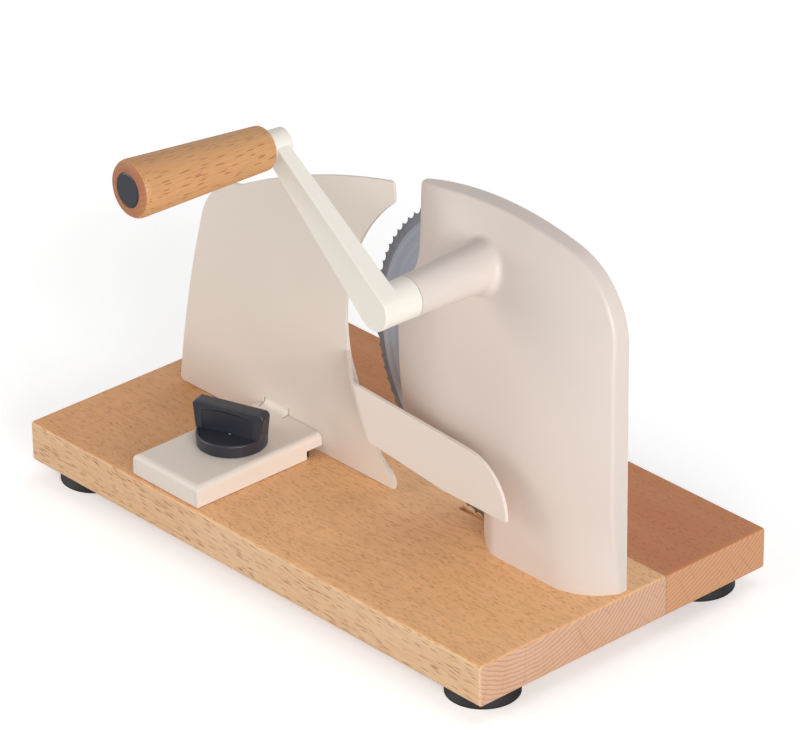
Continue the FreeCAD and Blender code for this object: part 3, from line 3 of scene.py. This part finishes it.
import bpy
from mathutils import Matrix, Vector

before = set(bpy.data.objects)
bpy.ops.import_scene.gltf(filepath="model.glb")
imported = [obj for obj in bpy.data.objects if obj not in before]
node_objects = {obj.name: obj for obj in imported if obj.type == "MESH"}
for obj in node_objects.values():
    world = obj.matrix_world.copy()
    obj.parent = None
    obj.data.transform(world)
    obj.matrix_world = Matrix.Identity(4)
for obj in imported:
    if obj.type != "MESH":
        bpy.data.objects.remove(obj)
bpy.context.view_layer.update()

# Places on the slicer that the finishes follow, in metres.
BOARD_TOP = 0.034
BLADE_CENTRE = (0.0807, 0.002, 0.1265)
BLADE_RADIUS = 0.093
GRIP_MIDDLE = (0.01396, -0.0933, 0.26294)
GLUE_LINE = 0.029
RING_PITCH = 0.0025
BEVEL_WIDTH = 0.0065


def srgb(red, green, blue):
    """A colour as seen on a screen, 0 to 255, as the linear values that a shader takes."""
    def linear(part):
        part /= 255.0
        return part / 12.92 if part <= 0.04045 else ((part + 0.055) / 1.055) ** 2.4
    return (linear(red), linear(green), linear(blue), 1.0)


class Field:
    """A number that changes over a surface. Arithmetic on it adds Math nodes."""

    def __init__(self, finish, socket):
        self.finish = finish
        self.socket = socket

    def _math(self, operation, *values):
        node = self.finish.add("ShaderNodeMath", {"operation": operation})
        for index, item in enumerate(values):
            self.finish.feed(node.inputs[index], item)
        return Field(self.finish, node.outputs[0])

    def __add__(self, other):
        return self._math("ADD", self, other)

    def __radd__(self, other):
        return self._math("ADD", other, self)

    def __sub__(self, other):
        return self._math("SUBTRACT", self, other)

    def __rsub__(self, other):
        return self._math("SUBTRACT", other, self)

    def __mul__(self, other):
        return self._math("MULTIPLY", self, other)

    def __rmul__(self, other):
        return self._math("MULTIPLY", other, self)

    def __truediv__(self, other):
        return self._math("DIVIDE", self, other)

    def __pow__(self, other):
        return self._math("POWER", self, other)

    def __gt__(self, other):
        return self._math("GREATER_THAN", self, other)

    def __lt__(self, other):
        return self._math("LESS_THAN", self, other)

    def __abs__(self):
        return self._math("ABSOLUTE", self)

    def root(self):
        return self._math("SQRT", self)

    def part(self):
        """What is left after the whole number."""
        return self._math("FRACT", self)

    def angle(self, other):
        return self._math("ARCTAN2", self, other)

    def rise(self, low, high):
        """0 below low, 1 above high, and smooth between."""
        node = self.finish.add(
            "ShaderNodeMapRange", {"interpolation_type": "SMOOTHSTEP"},
            {"Value": self, "From Min": low, "From Max": high})
        return Field(self.finish, node.outputs["Result"])


class Finish:
    """One material under construction."""

    def __init__(self, name):
        self.material = bpy.data.materials.new(name)
        self.material.use_nodes = True
        self.tree = self.material.node_tree
        self.tree.nodes.clear()
        self.surface = self.add("ShaderNodeBsdfPrincipled")
        self.output = self.add("ShaderNodeOutputMaterial")
        self.feed(self.output.inputs["Surface"], self.surface.outputs["BSDF"])

    def feed(self, socket, item):
        if isinstance(item, Field):
            item = item.socket
        if isinstance(item, bpy.types.NodeSocket):
            self.tree.links.new(item, socket)
        else:
            socket.default_value = item

    def add(self, kind, settings=None, sockets=None):
        """Any node: its type, its settings, then the values or links of its sockets."""
        node = self.tree.nodes.new(kind)
        for key, item in (settings or {}).items():
            setattr(node, key, item)
        for key, item in (sockets or {}).items():
            self.feed(node.inputs[key], item)
        return node

    def place(self, centre=(0, 0, 0), turn=(0, 0, 0)):
        """The object's own coordinates, measured from centre and turned, as a vector."""
        source = self.add("ShaderNodeTexCoord").outputs["Object"]
        moved = self.add("ShaderNodeMapping", {"vector_type": "POINT"}, {
            "Vector": source, "Location": tuple(-part for part in centre)})
        if any(turn):
            moved = self.add("ShaderNodeMapping", {"vector_type": "POINT"}, {
                "Vector": moved.outputs[0], "Rotation": turn})
        return moved.outputs[0]

    def split(self, vector):
        node = self.add("ShaderNodeSeparateXYZ", sockets={0: vector})
        return [Field(self, node.outputs[index]) for index in range(3)]

    def join(self, x, y, z):
        return self.add("ShaderNodeCombineXYZ", sockets={0: x, 1: y, 2: z}).outputs[0]

    def stretched(self, vector, scale):
        node = self.add("ShaderNodeVectorMath", {"operation": "MULTIPLY"}, {0: vector, 1: scale})
        return node.outputs[0]

    def noise(self, vector, scale, detail=2.0, rough=0.5):
        node = self.add("ShaderNodeTexNoise", {"noise_dimensions": "3D"}, {
            "Vector": vector, "Scale": scale, "Detail": detail, "Roughness": rough})
        return Field(self, node.outputs[0])

    def mix(self, share, first, second, blend="MIX"):
        node = self.add("ShaderNodeMix", {"data_type": "RGBA", "blend_type": blend})
        self.feed(node.inputs[0], share)
        self.feed(node.inputs[6], first)
        self.feed(node.inputs[7], second)
        return node.outputs[2]

    def bump(self, height, distance, strength=1.0):
        node = self.add("ShaderNodeBump", sockets={
            "Height": height, "Distance": distance, "Strength": strength})
        self.feed(self.surface.inputs["Normal"], node.outputs[0])

    def set(self, **sockets):
        names = {
            "colour": "Base Color", "roughness": "Roughness", "metallic": "Metallic",
            "coat": "Coat Weight", "coat_roughness": "Coat Roughness", "specular": "Specular IOR Level",
        }
        for key, item in sockets.items():
            self.feed(self.surface.inputs[names[key]], item)
        return self.material


def beech(name, staves, skins_and_top_light, along="X", centre=(0, 0, 0), turn=(0, 0, 0), slope=0.0):
    """Oiled beech: growth rings round a pith that lies along the grain, rays, and short dark dashes.

    Each stave is (where it starts across the grain, pith across, pith up, darkness). Each of the
    three skins, flat faces, upright faces and ends, is (light colour, dark colour). The ends differ
    as end grain; a flat-face colour lighter than the upright one is painted light on the top."""
    finish = Finish(name)
    x, y, z = finish.split(finish.place(centre, turn))
    if along == "Y":
        x, y = y, x
    facing = finish.split(finish.add("ShaderNodeTexCoord").outputs["Normal"])
    ends = abs(facing[1 if along == "Y" else 0]).rise(0.6, 0.85)
    flat = abs(facing[2]).rise(0.5, 0.8)

    def by_stave(column):
        value = staves[0][column]
        for before, after in zip(staves, staves[1:]):
            value = (y > after[0]) * (after[column] - before[column]) + value
        return value

    grain = finish.join(x, y, z)
    drift = finish.noise(finish.stretched(grain, (3.0, 26.0, 26.0)), 1.0, 3.0)
    waver = finish.noise(finish.stretched(grain, (14.0, 160.0, 160.0)), 1.0, 2.0)
    across, up = y - by_stave(1), z - by_stave(2)
    radius = (across * across + up * up).root() + (drift - 0.5) * 0.008 + (waver - 0.5) * 0.0010
    ring = (radius / RING_PITCH).part()
    late = ring.rise(0.35, 0.95) * (1.0 - ring.rise(0.95, 1.0))
    rays = finish.noise(finish.join(up.angle(across) * 120.0, radius * 30.0, x * 40.0), 1.0, 2.0).rise(0.60, 0.70)

    sweep = finish.noise(finish.stretched(grain, (5.0, 5.0, 5.0)), 1.0, 1.0)
    along_dash = finish.join(x, y + sweep * 0.022, z + x * slope + sweep * 0.016)
    fibre = finish.noise(finish.stretched(along_dash, (60.0, 2600.0, 2600.0)), 1.0, 2.0)
    streak = finish.noise(finish.stretched(along_dash, (60.0, 900.0, 900.0)), 1.0, 2.0)
    broad = finish.noise(finish.stretched(grain, (7.0, 42.0, 42.0)), 1.0, 2.0)
    cells = finish.add("ShaderNodeTexVoronoi", {"feature": "F1"}, {
        "Vector": finish.stretched(along_dash, (85.0, 1350.0, 1350.0)), "Scale": 1.0, "Randomness": 1.0})
    kept = finish.split(cells.outputs["Color"])[0] > 0.30
    dashes = (1.0 - Field(finish, cells.outputs["Distance"]).rise(0.16, 0.34)) * kept * (1.0 - ends)

    tone = by_stave(3)
    colours = [finish.mix(tone, light, dark) for light, dark in skins_and_top_light]
    # Painted shade: the flat side is darker and browner towards the left end.
    painted_shade_left_end = x.rise(-0.02, -0.16) * flat * 0.55
    colour = finish.mix(flat, colours[1], finish.mix(painted_shade_left_end, colours[0], srgb(196, 134, 76)))
    colour = finish.mix(ends, colour, colours[2])
    colour = finish.mix(broad.rise(0.30, 0.75) * 0.30, colour, srgb(212, 154, 100))
    colour = finish.mix(streak.rise(0.40, 0.75) * (1.0 - ends) * 0.26, colour, srgb(176, 106, 62))
    colour = finish.mix(fibre.rise(0.45, 0.75) * 0.08, colour, srgb(170, 112, 72))
    colour = finish.mix(late * (0.05 + ends * 0.36), colour, srgb(158, 96, 66))
    colour = finish.mix(rays * ends * 0.22, colour, srgb(150, 90, 64))
    colour = finish.mix(dashes * (0.88 - flat * 0.36), colour, srgb(128, 46, 18))
    for start, _, _, _ in staves[1:]:
        seam = 1.0 - abs(y - start).rise(0.00010, 0.00040)
        colour = finish.mix(seam * 0.45, colour, srgb(112, 66, 40))
    finish.bump(fibre * 0.5 - dashes * 0.2 - late * 0.2, 0.00004, 0.7)
    return finish.set(colour=colour, roughness=0.46 + fibre * 0.10 + dashes * 0.12 - late * 0.04)


def paint(name, colour, shade, grain=2600.0, gloss=0.42, depth=0.00003):
    """Stoved paint with a fine even skin."""
    finish = Finish(name)
    spot = finish.place()
    skin = finish.noise(spot, grain, 2.0)
    cloud = finish.noise(spot, 9.0, 2.0)
    tint = finish.mix(cloud.rise(0.3, 0.7) * 0.35, colour, shade)
    tint = finish.mix(skin.rise(0.52, 0.75) * 0.10, tint, shade)
    finish.bump(skin, depth, 0.6)
    return finish.set(colour=tint, roughness=gloss + (skin - 0.5) * 0.14 + (cloud - 0.5) * 0.05)


def ground_blade(name):
    """Stainless steel brushed in circles, with a ground band behind the teeth; the band's darker colour is
    painted shade.
    """
    finish = Finish(name)
    x, _, z = finish.split(finish.place(BLADE_CENTRE))
    radius = (x * x + z * z).root()
    around = z.angle(x)
    rings = finish.noise(finish.join(around * 1.5, radius * 2600.0, 0.0), 1.0, 3.0, 0.6)
    broad = finish.noise(finish.join(around * 0.8, radius * 240.0, 0.0), 1.0, 2.0)
    spokes = finish.noise(finish.join(around * 190.0, radius * 40.0, 0.0), 1.0, 2.0)
    ground_and_shade = radius.rise(BLADE_RADIUS - BEVEL_WIDTH - 0.0003, BLADE_RADIUS - BEVEL_WIDTH + 0.0002)
    colour = finish.mix(rings.rise(0.3, 0.7) * 0.5, srgb(172, 177, 188), srgb(212, 216, 224))
    colour = finish.mix(broad.rise(0.35, 0.75) * 0.35, colour, srgb(150, 155, 166))
    # Painted shade: the ground band is darkened; its grinding marks and roughness are real.
    colour = finish.mix(ground_and_shade * (0.55 + (spokes - 0.5) * 0.4), colour, srgb(92, 95, 104))
    finish.bump(rings * (1.0 - ground_and_shade) + spokes * ground_and_shade, 0.00004, 0.6)
    return finish.set(colour=colour, metallic=1.0, roughness=0.26 + rings * 0.16 + ground_and_shade * 0.08)


def turned_steel(name, colour, rough=0.28):
    """Turned or rolled metal with fine tool marks."""
    finish = Finish(name)
    spot = finish.place()
    marks = finish.noise(finish.stretched(spot, (900.0, 3200.0, 3200.0)), 1.0, 2.0)
    cloud = finish.noise(spot, 60.0, 2.0)
    tint = finish.mix(cloud.rise(0.3, 0.75) * 0.4, colour, tuple(part * 0.72 for part in colour[:3]) + (1.0,))
    finish.bump(marks, 0.00003, 0.5)
    return finish.set(colour=tint, metallic=1.0, roughness=rough + (marks - 0.5) * 0.16)


def moulded(name, colour, dust, rough=0.40, grain=1900.0, depth=0.00006):
    """Moulded plastic or rubber with a fine eroded texture."""
    finish = Finish(name)
    spot = finish.place()
    skin = finish.noise(spot, grain, 3.0, 0.6)
    cloud = finish.noise(spot, 34.0, 2.0)
    tint = finish.mix(skin.rise(0.5, 0.8) * 0.22, colour, dust)
    tint = finish.mix(cloud.rise(0.4, 0.8) * 0.16, tint, dust)
    finish.bump(skin, depth, 0.55)
    return finish.set(colour=tint, roughness=rough + (skin - 0.5) * 0.16)


def floor_finish():
    """A white floor that keeps the shadow. It looks brighter to the camera than it lights the object."""
    finish = Finish("studio_floor")
    finish.set(colour=(0.80, 0.80, 0.80, 1.0), roughness=0.9, specular=0.0)
    seen = finish.add("ShaderNodeBsdfDiffuse", sockets={"Color": (1.0, 1.0, 1.0, 1.0)})
    x, y, _ = finish.split(finish.place())
    glow = (x * x + y * y).root().rise(0.35, 1.0) * 0.85 + 0.36
    lift = finish.add("ShaderNodeEmission", sockets={"Color": finish.join(glow, glow, glow), "Strength": 1.0})
    both = finish.add("ShaderNodeAddShader", sockets={0: seen.outputs[0], 1: lift.outputs[0]})
    path = finish.add("ShaderNodeLightPath")
    swap = finish.add("ShaderNodeMixShader", sockets={
        0: path.outputs["Is Camera Ray"], 1: finish.surface.outputs[0], 2: both.outputs[0]})
    finish.feed(finish.output.inputs["Surface"], swap.outputs[0])
    return finish.material


def dress(nodes, material):
    for node in nodes:
        node_objects[node].data.materials.clear()
        node_objects[node].data.materials.append(material)


def make_finishes():
    # Painted light: the board's flat-face colours are lighter than its upright-face colours, standing in for
    # light on its top. The ends differ as end grain.
    board = beech(
        "beech_board", ((-1.0, -0.070, 0.095, 0.0), (GLUE_LINE, -0.030, 0.180, 1.0)),
        ((srgb(248, 193, 138), srgb(192, 114, 58)),
         (srgb(236, 198, 156), srgb(196, 138, 96)),
         (srgb(216, 173, 145), srgb(212, 157, 117))), slope=0.10)
    grip = beech(
        "beech_grip", ((-1.0, 0.010, -0.022, 0.25),),
        ((srgb(210, 160, 108), srgb(186, 130, 82)),
         (srgb(210, 160, 108), srgb(186, 130, 82)),
         (srgb(176, 112, 76), srgb(150, 88, 58))), along="Y",
        centre=GRIP_MIDDLE, turn=(math.radians(2.2), 0, math.radians(-2.6)))
    body = paint("painted_casting", srgb(222, 208, 199), srgb(212, 198, 189))
    # Painted light: the stop plate's paint is a lighter copy of the casting's paint, standing in for the light
    # that falls on the plate.
    sheet_paint_lit = paint("painted_sheet", srgb(233, 221, 210), srgb(223, 210, 198), gloss=0.46)
    arm = paint("painted_arm", srgb(240, 233, 221), srgb(230, 223, 210), gloss=0.38)
    steel = turned_steel("turned_steel", srgb(176, 178, 182))
    bronze = turned_steel("bearing_bronze", srgb(186, 140, 86), 0.36)
    brass = turned_steel("brass_insert", srgb(206, 172, 100), 0.3)
    dark = moulded("anthracite_plastic", srgb(39, 40, 48), srgb(57, 59, 69))
    black = moulded("black_plastic", srgb(26, 26, 28), srgb(44, 44, 46), 0.45)
    rubber = moulded("black_rubber", srgb(17, 17, 18), srgb(38, 38, 40), 0.62, 1200.0)
    gears = moulded("gear_plastic", srgb(224, 221, 210), srgb(206, 202, 188), 0.36, 1500.0, 0.00002)

    dress(["base_board"], board)
    dress(["hand_grip"], grip)
    dress(["gear_housing"], body)
    dress(["stop_plate"], sheet_paint_lit)
    dress(["crank_arm"], arm)
    dress(["cutting_blade"], ground_blade("brushed_blade"))
    dress(["blade_gear", "drive_pinion"], gears)
    dress(["crank_bush_front", "crank_bush_rear", "blade_bush"], bronze)
    dress(["knob_insert"], brass)
    dress(["clamp_knob", "grip_end_cap"], dark)
    dress(["guide_rail"], black)
    dress([name for name in node_objects if name.startswith("suction_foot")], rubber)
    dress([
        "foot_screws", "housing_screws", "rail_screws", "blade_screws", "blade_axle", "blade_cap_screw",
        "crank_shaft", "shaft_clip", "crank_set_screw", "grip_pin", "grip_washer", "clamp_stud", "knob_washer",
    ], steel)


def make_camera():
    """The viewpoint of the photograph, as fitted to the board's corners."""
    azimuth, elevation, roll = math.radians(47.877), math.radians(27.768), math.radians(-0.754)
    focal, distance = 5000.0, 2.6852625
    shift_x, shift_y = 0.0052392, 0.0580339
    back = Vector((
        math.sin(azimuth) * math.cos(elevation), -math.cos(azimuth) * math.cos(elevation), math.sin(elevation)))
    level = (-back).cross(Vector((0, 0, 1))).normalized()
    above = level.cross(-back)
    right = level * math.cos(roll) + above * math.sin(roll)
    up = above * math.cos(roll) - level * math.sin(roll)
    spot = right * shift_x + up * shift_y + back * distance + Vector((0, 0, BOARD_TOP))
    data = bpy.data.cameras.new("photo_view")
    data.sensor_width = 36.0
    data.lens = focal * 36.0 / 800.0
    data.clip_end = 20.0
    camera = bpy.data.objects.new("photo_view", data)
    camera.matrix_world = Matrix((
        (right.x, up.x, back.x, spot.x),
        (right.y, up.y, back.y, spot.y),
        (right.z, up.z, back.z, spot.z),
        (0, 0, 0, 1),
    ))
    bpy.context.scene.collection.objects.link(camera)
    bpy.context.scene.camera = camera


def soft_light(name, spot, size, power, tint, target=(0.0, 0.0, 0.1)):
    data = bpy.data.lights.new(name, "AREA")
    data.color = tint
    data.shape = "DISK"
    data.size = size
    data.energy = power
    lamp = bpy.data.objects.new(name, data)
    lamp.location = spot
    lamp.rotation_euler = (Vector(target) - Vector(spot)).to_track_quat("-Z", "Y").to_euler()
    bpy.context.scene.collection.objects.link(lamp)


def make_studio():
    half = 6.0
    mesh = bpy.data.meshes.new("studio_floor")
    mesh.from_pydata([(-half, -half, 0), (half, -half, 0), (half, half, 0), (-half, half, 0)], [], [(0, 1, 2, 3)])
    floor = bpy.data.objects.new("studio_floor", mesh)
    bpy.context.scene.collection.objects.link(floor)
    mesh.materials.append(floor_finish())

    soft_light("front_light", (-1.3, -1.35, 0.7), 1.2, 13.5, (1.0, 0.97, 0.94))
    soft_light("side_light", (1.9, -0.9, 0.6), 1.2, 35, (0.97, 0.99, 1.0))
    soft_light("back_light", (-0.5, 2.2, 0.9), 1.4, 13, (1.0, 1.0, 1.0))
    soft_light("top_light", (0.3, 0.5, 2.0), 1.4, 4.5, (0.97, 0.99, 1.0))

    world = bpy.data.worlds.new("studio")
    world.use_nodes = True
    tree = world.node_tree
    tree.nodes.clear()
    output = tree.nodes.new("ShaderNodeOutputWorld")
    seen, ambient = tree.nodes.new("ShaderNodeBackground"), tree.nodes.new("ShaderNodeBackground")
    seen.inputs["Strength"].default_value = 1.0
    ambient.inputs["Strength"].default_value = 0.25
    for shader in (seen, ambient):
        shader.inputs["Color"].default_value = (1.0, 1.0, 1.0, 1.0)
    path, either, swap = (tree.nodes.new(kind) for kind in (
        "ShaderNodeLightPath", "ShaderNodeMath", "ShaderNodeMixShader"))
    either.operation = "MAXIMUM"
    tree.links.new(path.outputs["Is Camera Ray"], either.inputs[0])
    tree.links.new(path.outputs["Is Glossy Ray"], either.inputs[1])
    tree.links.new(either.outputs[0], swap.inputs[0])
    tree.links.new(ambient.outputs[0], swap.inputs[1])
    tree.links.new(seen.outputs[0], swap.inputs[2])
    tree.links.new(swap.outputs[0], output.inputs["Surface"])
    bpy.context.scene.world = world
    bpy.context.scene.view_settings.view_transform = "Standard"


make_camera()
make_finishes()
make_studio()
